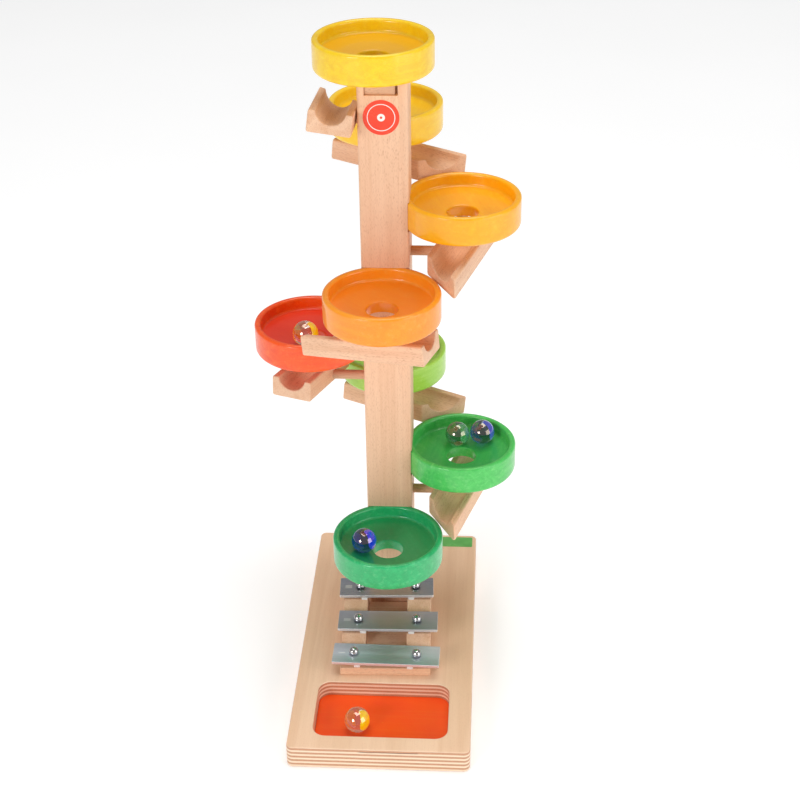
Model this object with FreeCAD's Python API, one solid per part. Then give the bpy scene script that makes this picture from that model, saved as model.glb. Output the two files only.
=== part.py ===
import FreeCAD, Part
import math
import os

# Wooden marble run: a square post on a plywood base carries eight turned bowls.
# Six inclined channels and one short side channel lead a 16 mm marble from bowl to bowl.
# It then hops down three sound plates into a tray.
# Frame: millimetres, origin at the centre of the base footprint, underside at z = 0,
# X to the right, Y to the back, Z up. Every named node is written as one STEP file.

# ---- driving dimensions ------------------------------------------------------------
BASE_WIDTH = 112.0
BASE_LENGTH = 224.0
BASE_THICK = 15.5
BASE_CORNER = 4.0
BASE_EDGE = 1.0
GLUE_GAP = 0.02

TRAY_CENTRE = (0.3, -75.3)
TRAY_SIZE = (83.0, 49.2)
TRAY_CORNER = 8.0
TRAY_FLOOR_TOP = 5.0
TRAY_PANEL_THICK = 1.5
TRAY_LIP = 0.8
TRAY_PANEL_GAP = 0.05

POST_SIDE = 29.3
POST_X = -0.15
POST_Y = 45.0
POST_EDGE = 1.5

BOWL_RADIUS = 35.0
BOWL_HEIGHT = 18.5
BOWL_WALL = 4.0
BOWL_HOLE = 9.5
FLOOR_OUTER_DEPTH = 7.8
FLOOR_INNER_DEPTH = 11.4
BOWL_FOOT_ROUND = 2.6
BOWL_RIM_ROUND = 1.7
FLOOR_ROUND = 2.0
HOLE_TOP_ROUND = 1.0
HOLE_FOOT_ROUND = 0.8
SEAT_GAP = 0.03

# bowl number: (x, y, z of the rim)
BOWLS = {
    1: (-5.8, 45.0, 407.2),
    2: (-2.6, 91.0, 352.8),
    3: (45.5, 45.0, 311.5),
    4: (-0.3, -1.0, 269.4),
    5: (-48.5, 45.0, 225.3),
    6: (-0.6, 91.0, 182.8),
    7: (46.0, 45.0, 139.0),
    8: (0.6, -1.0, 96.1),
}

CHANNEL_WIDTH = 26.0
CHANNEL_HEIGHT = 13.0
GROOVE_RADIUS = 9.0
GROOVE_DEPTH = 7.5
CHANNEL_EDGE = 1.2
LIP_EDGE = 0.9
CHANNEL_BLANK = 75.0
# channel number: drop from the bowl's underside to the channel's top, at the bowl's axis
CHANNEL_DROP = {2: 9.8, 3: 9.6, 4: 9.2, 5: 10.8, 6: 12.4, 7: 10.3}
CHANNEL_UPHILL = 30.5
CHANNEL_TURN = 19.3
CHANNEL_SLOPE = 5.8
MITRE = 40.5
MITRE_GAP = 0.35

# channel number: direction of travel in degrees, counted from +X towards +Y
TRAVEL = {2: 0.0, 3: -90.0, 4: 180.0, 5: 90.0, 6: 0.0, 7: -90.0}

SIDE_CHANNEL_START = (-28.7, 19.8, 371.0)
SIDE_CHANNEL_HEADING = 88.3
SIDE_CHANNEL_SLOPE = 5.3
SIDE_CHANNEL_ROLL = 7.6
SIDE_CHANNEL_LENGTH = 41.4
SIDE_CHANNEL_MITRE = 37.1
PEGGED = (1, 2, 3, 4, 5, 6, 7)

PEG_DIAMETER = 6.0
PEG_IN_POST = 9.0
PEG_IN_CHANNEL = 5.0
PEG_BELOW_TOP = 8.6

SLOT_HALF = 9.5
SLOT_END = 6.0
SLOT_FLOOR_LOW = 370.6
SLOT_FLOOR_HIGH = 372.6
NOTCH = (-10.6, 8.7, 377.4)
FILLER_END = 7.2
FILLER_SETBACK = 1.4

STAND_X = -0.8
STAND_TURN = 1.8
RAIL_INNER = 13.1
RAIL_OUTER = 28.9
RAIL_FRONT = -39.0
RAIL_BACK = 28.5
CROSS_BOARD = (-43.0, 21.0)
CROSS_BOARD_EDGE = 0.8
CENTRE_BOARD_TOP = 20.5
RAIL_DIP = 2.2

# plate number: (centre x, centre y, top z, length, turn in degrees, pins' middle x)
PLATES = {
    1: (-2.3, 19.0, 39.0, 62.0, 2.6, -1.4),
    2: (0.2, -8.8, 33.0, 64.8, 1.2, -0.1),
    3: (0.6, -36.0, 27.0, 68.4, -0.8, -0.1),
}
PLATE_WIDTH = 19.0
PLATE_THICK = 2.0
PLATE_CORNER = 0.6
PIN_SPREAD = 0.295
PIN_SHANK = 1.25
PIN_HOLE_GAP = 0.08
PIN_HEAD_RADIUS = 3.1
PIN_HEAD_LIFT = 1.0
PIN_IN_RAIL = 7.0
PAD_THICK = 2.0
PAD_SIZE = (4.0, 5.0)
PAD_INSET = 0.2
# plate number: x of the left front, left back, right front and right back pads
PADS = {
    1: (-16.6, -16.6, 14.3, 14.3),
    2: (-15.6, -16.1, 15.7, 15.4),
    3: (-17.6, -17.4, 16.2, 14.5),
}
PAD_REST_GAP = 0.03

STICKER = (-1.0, 364.4, 10.5)
LABEL = (24.0, 53.3, 97.8, 109.2)
LABEL_CORNER = 1.0
SKIN = 0.15

MARBLE_RADIUS = 8.0
MARBLE_GAP = 0.04
# marble name: (bowl number, distance east and north of the bowl's centre)
BOWL_MARBLES = {
    "marble_amber": (5, -2.0, -12.0),
    "marble_green": (7, -2.9, 12.3),
    "marble_violet": (7, 13.3, 13.5),
    "marble_blue": (8, -15.0, -4.0),
}
TRAY_MARBLE = (-14.7, -82.6)

UP = FreeCAD.Vector(0, 0, 1)
ORIGIN = FreeCAD.Vector(0, 0, 0)


def vec(x, y, z):
    return FreeCAD.Vector(x, y, z)


def block(x0, x1, y0, y1, z0, z1):
    return Part.makeBox(x1 - x0, y1 - y0, z1 - z0, vec(x0, y0, z0))


def cylinder(radius, x, y, z0, z1):
    return Part.makeCylinder(radius, z1 - z0, vec(x, y, z0), UP)


def upright_edges(shape):
    """Edges that run parallel to Z."""
    found = []
    for edge in shape.Edges:
        ends = edge.Vertexes
        if len(ends) == 2:
            a = ends[0].Point
            b = ends[1].Point
            if abs(a.x - b.x) < 1e-6 and abs(a.y - b.y) < 1e-6:
                found.append(edge)
    return found


def rounded_block(x0, x1, y0, y1, z0, z1, corner):
    shape = block(x0, x1, y0, y1, z0, z1)
    return shape.makeFillet(corner, upright_edges(shape))


def edges_at_height(shape, z):
    found = []
    for edge in shape.Edges:
        if all(abs(v.Z - z) < 1e-6 for v in edge.Vertexes):
            found.append(edge)
    return found


def place(shape, angle, x, y, z):
    """Turn about Z by angle degrees, then move."""
    out = shape.copy()
    out.rotate(ORIGIN, UP, angle)
    out.translate(vec(x, y, z))
    return out


# ---- base --------------------------------------------------------------------------
def tray_outline(z0, z1, shrink):
    cx, cy = TRAY_CENTRE
    half_x = TRAY_SIZE[0] / 2 - shrink
    half_y = TRAY_SIZE[1] / 2 - shrink
    corner = TRAY_CORNER - shrink
    return rounded_block(cx - half_x, cx + half_x, cy - half_y, cy + half_y, z0, z1, corner)


def base_board():
    half_x = BASE_WIDTH / 2
    half_y = BASE_LENGTH / 2
    board = rounded_block(-half_x, half_x, -half_y, half_y, 0, BASE_THICK, BASE_CORNER)
    board = board.makeFillet(BASE_EDGE, edges_at_height(board, BASE_THICK) + edges_at_height(board, 0))
    pocket_floor = TRAY_FLOOR_TOP - TRAY_PANEL_THICK
    board = board.cut(tray_outline(pocket_floor, BASE_THICK + 5, 0))
    return board.makeFillet(TRAY_LIP, tray_lip_edges(board))


def tray_lip_edges(board):
    """Edges of the pocket's opening in the board's top face."""
    reach_x = TRAY_SIZE[0] / 2 + 0.01
    reach_y = TRAY_SIZE[1] / 2 + 0.01
    found = []
    for edge in edges_at_height(board, BASE_THICK):
        centre = edge.BoundBox.Center
        near_x = abs(centre.x - TRAY_CENTRE[0]) < reach_x
        near_y = abs(centre.y - TRAY_CENTRE[1]) < reach_y
        if near_x and near_y:
            found.append(edge)
    return found


def tray_floor():
    return tray_outline(TRAY_FLOOR_TOP - TRAY_PANEL_THICK, TRAY_FLOOR_TOP, TRAY_PANEL_GAP)


# ---- bowls -------------------------------------------------------------------------
def bowl_shape():
    """Turned bowl, rim at z = 0: straight wall, conical floor, central hole."""
    inner = BOWL_RADIUS - BOWL_WALL
    outline = [
        vec(BOWL_HOLE, 0, -BOWL_HEIGHT),
        vec(BOWL_RADIUS, 0, -BOWL_HEIGHT),
        vec(BOWL_RADIUS, 0, 0),
        vec(inner, 0, 0),
        vec(inner, 0, -FLOOR_OUTER_DEPTH),
        vec(BOWL_HOLE, 0, -FLOOR_INNER_DEPTH),
        vec(BOWL_HOLE, 0, -BOWL_HEIGHT),
    ]
    solid = Part.Face(Part.makePolygon(outline)).revolve(ORIGIN, UP, 360)
    solid = round_circle(solid, BOWL_RADIUS, -BOWL_HEIGHT, BOWL_FOOT_ROUND)
    solid = round_circle(solid, BOWL_RADIUS, 0, BOWL_RIM_ROUND)
    solid = round_circle(solid, inner, 0, BOWL_RIM_ROUND)
    solid = round_circle(solid, inner, -FLOOR_OUTER_DEPTH, FLOOR_ROUND)
    solid = round_circle(solid, BOWL_HOLE, -FLOOR_INNER_DEPTH, HOLE_TOP_ROUND)
    return round_circle(solid, BOWL_HOLE, -BOWL_HEIGHT, HOLE_FOOT_ROUND)


def round_circle(solid, radius, z, size):
    """Round the circular edge of the given radius and height."""
    for edge in solid.Edges:
        curve = edge.Curve
        if curve.TypeId != "Part::GeomCircle":
            continue
        if abs(curve.Radius - radius) < 1e-4 and abs(curve.Center.z - z) < 1e-4:
            if edge.isClosed():
                return solid.makeFillet(size, [edge])
    raise ValueError("no circular edge at that place")


# ---- channels ----------------------------------------------------------------------
def channel_blank(uphill, downhill):
    """Level grooved block along +X with its top at z = 0 and the groove on the X axis."""
    half = CHANNEL_WIDTH / 2
    body = block(-uphill, downhill, -half, half, -CHANNEL_HEIGHT, 0)
    centre_height = GROOVE_RADIUS - GROOVE_DEPTH
    groove = Part.makeCylinder(
        GROOVE_RADIUS, uphill + downhill + 2, vec(-uphill - 1, 0, centre_height), vec(1, 0, 0)
    )
    body = body.cut(groove)
    outer = [e for e in body.Edges if runs_along_x(e) and abs(abs(start_of(e).y) - half) < 1e-6]
    body = body.makeFillet(CHANNEL_EDGE, outer)
    lips = [e for e in body.Edges if is_lip(e, half)]
    return body.makeFillet(LIP_EDGE, lips)


def start_of(edge):
    return edge.Vertexes[0].Point


def runs_along_x(edge):
    a = start_of(edge)
    b = edge.Vertexes[-1].Point
    return abs(a.y - b.y) < 1e-6 and abs(a.z - b.z) < 1e-6


def is_lip(edge, half):
    """The edge where the groove meets the channel's top."""
    a = start_of(edge)
    return runs_along_x(edge) and abs(a.z) < 1e-6 and abs(a.y) < half - 2


def mitre_tool(bowl, heading):
    """Everything on the bowl's side of a vertical plane just outside its rim.

    The plane's normal points along the heading, towards the bowl."""
    reach = BOWL_RADIUS + MITRE_GAP
    tool = block(-reach, 200, -200, 200, -300, 300)
    x, y, z = BOWLS[bowl]
    return place(tool, heading, x, y, z)


def unit(angle):
    return math.cos(math.radians(angle)), math.sin(math.radians(angle))


def channel_top(number):
    return BOWLS[number][2] - BOWL_HEIGHT - CHANNEL_DROP[number]


def channel(number):
    """Inclined channel from under one bowl to the rim of the next."""
    blank = channel_blank(CHANNEL_UPHILL, CHANNEL_BLANK)
    blank.rotate(ORIGIN, vec(0, 1, 0), CHANNEL_SLOPE)
    heading = TRAVEL[number] - CHANNEL_TURN
    x, y, _ = BOWLS[number]
    body = place(blank, heading, x, y, channel_top(number))
    return body.cut(mitre_tool(number + 1, heading - MITRE))


def side_channel():
    """Short channel beside the post's left face, from the top slot to bowl 2.

    It leans towards the post, and its low end is cut back on the post's side."""
    body = channel_blank(0.0, CHANNEL_BLANK)
    tool = place(block(0, 60, -60, 60, -60, 60), -SIDE_CHANNEL_MITRE, SIDE_CHANNEL_LENGTH, 0, 0)
    body = body.cut(tool)
    body.rotate(ORIGIN, vec(1, 0, 0), SIDE_CHANNEL_ROLL)
    body.rotate(ORIGIN, vec(0, 1, 0), SIDE_CHANNEL_SLOPE)
    x, y, z = SIDE_CHANNEL_START
    return place(body, SIDE_CHANNEL_HEADING, x, y, z)


def peg_line(number):
    """Start point, direction and length of the peg between the post and a channel."""
    travel_x, travel_y = unit(TRAVEL[number])
    out_x, out_y = -travel_y, travel_x
    bowl_x, bowl_y, _ = BOWLS[number]
    offset = travel_x * bowl_x + travel_y * (bowl_y - POST_Y)
    distance = out_x * bowl_x + out_y * (bowl_y - POST_Y)
    turn = math.radians(CHANNEL_TURN)
    along = (-offset + CHANNEL_WIDTH / 2 * math.sin(turn)) / math.cos(turn)
    side = distance - along * math.sin(turn) - CHANNEL_WIDTH / 2 * math.cos(turn)
    z = channel_top(number) - along * math.tan(math.radians(CHANNEL_SLOPE)) - PEG_BELOW_TOP
    start = POST_SIDE / 2 - PEG_IN_POST
    length = side + PEG_IN_CHANNEL - start
    point = vec(out_x * start, POST_Y + out_y * start, z)
    return point, vec(out_x, out_y, 0), length


def side_peg_line():
    """Peg line of the short side channel, level with the post's axis."""
    x, y, z = SIDE_CHANNEL_START
    along = POST_Y - y
    cos_roll, sin_roll = unit(SIDE_CHANNEL_ROLL)
    reach = CHANNEL_WIDTH / 2 * cos_roll - PEG_BELOW_TOP * sin_roll
    fall = CHANNEL_WIDTH / 2 * sin_roll + PEG_BELOW_TOP * cos_roll
    side = -x - along * math.tan(math.radians(90 - SIDE_CHANNEL_HEADING)) - reach
    start = POST_SIDE / 2 - PEG_IN_POST
    height = z - along * math.tan(math.radians(SIDE_CHANNEL_SLOPE)) - fall
    return vec(-start, POST_Y, height), vec(-1, 0, 0), side + PEG_IN_CHANNEL - start


def peg(number, extra):
    point, direction, length = side_peg_line() if number == 1 else peg_line(number)
    radius = PEG_DIAMETER / 2 + extra
    start = point - direction * extra
    return Part.makeCylinder(radius, length + 2 * extra, start, direction)


# ---- post --------------------------------------------------------------------------
def post_top():
    return BOWLS[1][2] - BOWL_HEIGHT


def slot_tool():
    """Sloping slot that leads a marble from under bowl 1 out of the left face."""
    left = -POST_SIDE / 2 - 2
    top = post_top() + 2
    outline = [
        vec(left, POST_Y - SLOT_HALF, SLOT_FLOOR_LOW - 0.2),
        vec(SLOT_END, POST_Y - SLOT_HALF, SLOT_FLOOR_HIGH),
        vec(SLOT_END, POST_Y - SLOT_HALF, top),
        vec(left, POST_Y - SLOT_HALF, top),
        vec(left, POST_Y - SLOT_HALF, SLOT_FLOOR_LOW - 0.2),
    ]
    return Part.Face(Part.makePolygon(outline)).extrude(vec(0, 2 * SLOT_HALF, 0))


def notch_tool():
    x0, x1, z0 = NOTCH
    front = POST_Y - POST_SIDE / 2
    return block(x0, x1, front - 1, POST_Y - SLOT_HALF, z0, post_top() + 2)


def post():
    half = POST_SIDE / 2
    x0 = POST_X - half
    x1 = POST_X + half
    body = rounded_block(x0, x1, POST_Y - half, POST_Y + half, BASE_THICK, post_top(), POST_EDGE)
    for number in range(2, 9):
        x, y, rim = BOWLS[number]
        seat = cylinder(BOWL_RADIUS + SEAT_GAP, x, y, rim - BOWL_HEIGHT - SEAT_GAP, rim + SEAT_GAP)
        body = body.cut(seat)
    for number in PEGGED:
        body = body.cut(peg(number, GLUE_GAP))
    body = body.cut(slot_tool())
    return body.cut(notch_tool())


def slot_filler():
    """Small block let into the notch that closes the front of the slot."""
    x0, _, z0 = NOTCH
    front = POST_Y - POST_SIDE / 2 + FILLER_SETBACK
    back = POST_Y - SLOT_HALF
    top = post_top() - GLUE_GAP
    return block(x0 + GLUE_GAP, FILLER_END, front, back - GLUE_GAP, z0 + GLUE_GAP, top)


# ---- sound plates ------------------------------------------------------------------
def pin_places(number):
    x, y, _, length, turn, middle = PLATES[number]
    slope = math.tan(math.radians(turn))
    offset = PIN_SPREAD * length
    return [(px, y + (px - x) * slope) for px in (middle - offset, middle + offset)]


def turn_stand(shape):
    """The stand is glued on a little out of square with the base."""
    pivot = vec(STAND_X, PLATES[2][1], 0)
    shape.rotate(pivot, UP, STAND_TURN)
    return shape


def crest(number):
    """Height of the rails under a plate's pads."""
    return PLATES[number][2] - PLATE_THICK - PAD_THICK - PAD_REST_GAP


def rail(x0, x1):
    """Side rail: three level crests joined by hollows, higher towards the post."""
    half = PLATE_WIDTH / 2
    y1 = PLATES[1][1]
    y2 = PLATES[2][1]
    y3 = PLATES[3][1]
    top = crest(1)
    middle = crest(2)
    low = crest(3)
    p = [vec(x0, RAIL_BACK, BASE_THICK), vec(x0, RAIL_FRONT, BASE_THICK), vec(x0, RAIL_FRONT, low)]
    a0 = vec(x0, y3 + half - 1, low)
    a1 = vec(x0, y2 - half + 1, middle)
    b0 = vec(x0, y2 + half - 1, middle)
    b1 = vec(x0, y1 - half + 1, top)
    end = vec(x0, RAIL_BACK, top)
    hollow_a = Part.Arc(a0, vec(x0, (a0.y + a1.y) / 2, (low + middle) / 2 - RAIL_DIP), a1)
    hollow_b = Part.Arc(b0, vec(x0, (b0.y + b1.y) / 2, (middle + top) / 2 - RAIL_DIP), b1)
    edges = [
        Part.makeLine(p[0], p[1]),
        Part.makeLine(p[1], p[2]),
        Part.makeLine(p[2], a0),
        hollow_a.toShape(),
        Part.makeLine(a1, b0),
        hollow_b.toShape(),
        Part.makeLine(b1, end),
        Part.makeLine(end, p[0]),
    ]
    body = turn_stand(Part.Face(Part.Wire(edges)).extrude(vec(x1 - x0, 0, 0)))
    for number in PLATES:
        for x, y in pin_places(number):
            if x0 - 1 < x < x1 + 1:
                foot = crest(number) - PIN_IN_RAIL - GLUE_GAP
                body = body.cut(cylinder(PIN_SHANK + GLUE_GAP, x, y, foot, crest(number) + 5))
    return body


def cross_board():
    front, top = CROSS_BOARD
    left = STAND_X - RAIL_OUTER
    right = STAND_X + RAIL_OUTER
    body = block(left, right, front, RAIL_FRONT - GLUE_GAP, BASE_THICK, top)
    return turn_stand(body.makeFillet(CROSS_BOARD_EDGE, edges_at_height(body, top)))


def centre_board():
    left = STAND_X - RAIL_INNER + GLUE_GAP
    right = STAND_X + RAIL_INNER - GLUE_GAP
    return turn_stand(block(left, right, RAIL_FRONT, RAIL_BACK - 2, BASE_THICK, CENTRE_BOARD_TOP))


def sound_plate(number):
    x, y, top, length, turn, _ = PLATES[number]
    half = PLATE_WIDTH / 2
    flat = rounded_block(-length / 2, length / 2, -half, half, -PLATE_THICK, 0, PLATE_CORNER)
    body = place(flat, turn, x, y, top)
    for px, py in pin_places(number):
        body = body.cut(cylinder(PIN_SHANK + PIN_HOLE_GAP, px, py, top - 5, top + 5))
    return body


def pin_shape(number, x, y):
    """Round-headed pin: domed head above the plate, shank down into the rail."""
    top = PLATES[number][2]
    foot = crest(number) - PIN_IN_RAIL
    under_head = top + PIN_HEAD_LIFT
    shank = cylinder(PIN_SHANK, x, y, foot, under_head + 1.0)
    sphere = Part.makeSphere(PIN_HEAD_RADIUS, vec(x, y, under_head + 0.4))
    lower = cylinder(PIN_HEAD_RADIUS + 1, x, y, under_head - 10, under_head)
    return shank.fuse(sphere.cut(lower)).removeSplitter()


def plate_pins():
    solids = []
    for number in PLATES:
        for x, y in pin_places(number):
            solids.append(pin_shape(number, x, y))
    return Part.makeCompound(solids)


def plate_pads():
    """Small felt pads between plates and rails, in front of and behind each pin."""
    solids = []
    width, depth = PAD_SIZE
    for number, (left_front, left_back, right_front, right_back) in PADS.items():
        x, y, _, _, turn, _ = PLATES[number]
        slope = math.tan(math.radians(turn))
        reach = PLATE_WIDTH / 2 - PAD_INSET
        z0 = crest(number)
        for px in (left_front, right_front):
            y0 = y + (px - x) * slope - reach
            solids.append(block(px - width / 2, px + width / 2, y0, y0 + depth, z0, z0 + PAD_THICK))
        for px in (left_back, right_back):
            y1 = y + (px - x) * slope + reach
            solids.append(block(px - width / 2, px + width / 2, y1 - depth, y1, z0, z0 + PAD_THICK))
    return Part.makeCompound(solids)


# ---- skins and marbles -------------------------------------------------------------
def sticker():
    x, z, radius = STICKER
    front = POST_Y - POST_SIDE / 2
    return Part.makeCylinder(radius, SKIN, vec(x, front, z), vec(0, -1, 0))


def rear_label():
    x0, x1, y0, y1 = LABEL
    return rounded_block(x0, x1, y0, y1, BASE_THICK, BASE_THICK + SKIN, LABEL_CORNER)


def marble_height(radius):
    """Height above the rim level of a marble resting on the conical floor."""
    inner = BOWL_RADIUS - BOWL_WALL
    run = inner - BOWL_HOLE
    rise = FLOOR_INNER_DEPTH - FLOOR_OUTER_DEPTH
    slope = math.atan2(rise, run)
    floor = -FLOOR_INNER_DEPTH + (radius - BOWL_HOLE) * rise / run
    return floor + (MARBLE_RADIUS + MARBLE_GAP) / math.cos(slope)


def bowl_marble(name):
    number, dx, dy = BOWL_MARBLES[name]
    x, y, rim = BOWLS[number]
    z = rim + marble_height(math.hypot(dx, dy))
    return Part.makeSphere(MARBLE_RADIUS, vec(x + dx, y + dy, z))


def tray_marble():
    x, y = TRAY_MARBLE
    return Part.makeSphere(MARBLE_RADIUS, vec(x, y, TRAY_FLOOR_TOP + MARBLE_RADIUS + MARBLE_GAP))


# ---- write the nodes ---------------------------------------------------------------
def all_nodes():
    nodes = {
        "base_board": base_board(),
        "tray_floor": tray_floor(),
        "post": post(),
        "slot_filler": slot_filler(),
        "channel_1": side_channel().cut(peg(1, GLUE_GAP)),
        "channel_pegs": Part.makeCompound([peg(n, 0.0) for n in PEGGED]),
        "rail_left": rail(STAND_X - RAIL_OUTER, STAND_X - RAIL_INNER),
        "rail_right": rail(STAND_X + RAIL_INNER, STAND_X + RAIL_OUTER),
        "cross_board": cross_board(),
        "centre_board": centre_board(),
        "plate_pins": plate_pins(),
        "plate_pads": plate_pads(),
        "sticker": sticker(),
        "rear_label": rear_label(),
        "marble_clear": tray_marble(),
    }
    turned = bowl_shape()
    for number, (x, y, rim) in BOWLS.items():
        nodes["bowl_%d" % number] = place(turned, 0, x, y, rim)
    for number in TRAVEL:
        nodes["channel_%d" % number] = channel(number).cut(peg(number, GLUE_GAP))
    for number in PLATES:
        nodes["sound_plate_%d" % number] = sound_plate(number)
    for name in BOWL_MARBLES:
        nodes[name] = bowl_marble(name)
    return nodes


os.makedirs("parts", exist_ok=True)
for node_name, shape in all_nodes().items():
    shape.exportStep("parts/%s.step" % node_name)
    print(node_name, len(shape.Solids), "solids", round(shape.Volume, 1), "mm3", shape.isValid())
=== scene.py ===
import math

import bmesh
import bpy
from mathutils import Matrix, Vector, noise


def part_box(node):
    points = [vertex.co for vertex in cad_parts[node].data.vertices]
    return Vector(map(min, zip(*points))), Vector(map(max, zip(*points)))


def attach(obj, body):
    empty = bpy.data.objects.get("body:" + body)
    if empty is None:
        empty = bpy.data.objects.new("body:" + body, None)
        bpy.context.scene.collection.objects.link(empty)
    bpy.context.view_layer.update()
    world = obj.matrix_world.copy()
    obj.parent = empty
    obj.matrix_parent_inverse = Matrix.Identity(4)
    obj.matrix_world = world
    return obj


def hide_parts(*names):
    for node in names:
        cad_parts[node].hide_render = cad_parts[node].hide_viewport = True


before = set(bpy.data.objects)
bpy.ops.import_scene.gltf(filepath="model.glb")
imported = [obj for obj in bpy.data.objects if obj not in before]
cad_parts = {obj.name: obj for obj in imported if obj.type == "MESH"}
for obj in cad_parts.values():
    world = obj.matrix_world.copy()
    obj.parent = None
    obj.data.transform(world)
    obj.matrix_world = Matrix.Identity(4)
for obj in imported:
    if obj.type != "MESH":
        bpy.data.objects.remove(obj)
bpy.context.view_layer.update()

MM = 0.001

# ---- measures in millimetres: the CAD part's, and a few of the looks' own ---------------
BOWL_RADIUS = 35.0
BOWL_HEIGHT = 18.5
BOWL_WALL = 4.0
BOWL_HOLE = 9.5
SEAT_GAP = 0.03
FLOOR_OUTER = 7.8
FLOOR_INNER = 11.4
CHANNEL_HALF = 13.0
CHANNEL_HEIGHT = 13.0
GROOVE_RADIUS = 9.0
GROOVE_RISE = 1.5
CHANNEL_UPHILL = 30.5
CHANNEL_TURN = 19.3
CHANNEL_SLOPE = 5.8
MITRE = 40.5
MITRE_REACH = 35.35
CHANNEL_DROP = {2: 9.8, 3: 9.6, 4: 9.2, 5: 10.8, 6: 12.4, 7: 10.3}
TRAVEL = {2: 0.0, 3: -90.0, 4: 180.0, 5: 90.0, 6: 0.0, 7: -90.0}
SIDE_START = (-28.7, 19.8, 371.0)
SIDE_HEADING = 88.3
SIDE_SLOPE = 5.3
SIDE_ROLL = 7.6
SIDE_LENGTH = 41.4
SIDE_MITRE = 37.1
TIP_BLUNT = 1.8
PEG_RADIUS = 3.0
PEG_START = 5.7
PEG_IN_CHANNEL = 5.0
PEG_BELOW_TOP = 8.6
POST_HALF = 14.65
POST_X = -0.15
POST_Y = 45.0
NOTCH = (-10.6, 8.7, 377.4)
FILLER_END = 7.2
FILLER_DEPTH = (31.8, 35.48)
SLOT_HALF = 9.5
BASE_HALF = (56.0, 112.0)
BASE_CORNER = 4.0
BASE_EDGE = 1.0
BASE_THICK = 15.5
# centre x and y, half width, half length
TRAY = (0.3, -75.3, 41.5, 24.6)
TRAY_CORNER = 8.0
TRAY_LIP = 0.8
TRAY_FLOOR = 5.0
TRAY_PANEL = 1.5
# plate number: centre x, centre y, top z, length, turn in degrees, middle x of the pins
PLATES = {
    1: (-2.3, 19.0, 39.0, 62.0, 2.6, -1.4),
    2: (0.2, -8.8, 33.0, 64.8, 1.2, -0.1),
    3: (0.6, -36.0, 27.0, 68.4, -0.8, -0.1),
}
PLATE_WIDTH = 19.0
PLATE_THICK = 2.0
# painted reflection: each plate's metal is brightened by its own factor, standing for the different light
# each plate reflects
PLATE_PAINTED_REFLECTION = {1: 1.0, 2: 1.04, 3: 1.17}
PIN_SPREAD = 0.295
STAND_X = -0.8
STAND_TURN = 1.8
RAIL_INNER = 13.1
RAIL_OUTER = 28.9
RAIL_FRONT = -39.0
RAIL_BACK = 28.5
RAIL_DIP = 2.2
CREST_BELOW_PLATE = 4.03
CROSS_BOARD = (-43.0, 21.0)
CENTRE_BOARD_TOP = 20.5
PAD_SIZE = (4.0, 5.0)
PAD_INSET = 0.2
PAD_BELOW_PLATE = (4.02, 2.03)
# plate number: x of the left front, left back, right front and right back pads
PADS = {
    1: (-16.6, -16.6, 14.3, 14.3),
    2: (-15.6, -16.1, 15.7, 15.4),
    3: (-17.6, -17.4, 16.2, 14.5),
}
# centre x, centre z, radius
STICKER = (-1.0, 364.4, 10.5)
# left, right, front, back
LABEL = (24.0, 53.3, 97.8, 109.2)
SKIN = 0.15
BALL_RADIUS = 7.99

BOWL_PLACE = {}
for n in range(1, 9):
    lo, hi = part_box("bowl_%d" % n)
    BOWL_PLACE[n] = Vector(((lo.x + hi.x) / 2, (lo.y + hi.y) / 2, hi.z)) / MM


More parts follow.
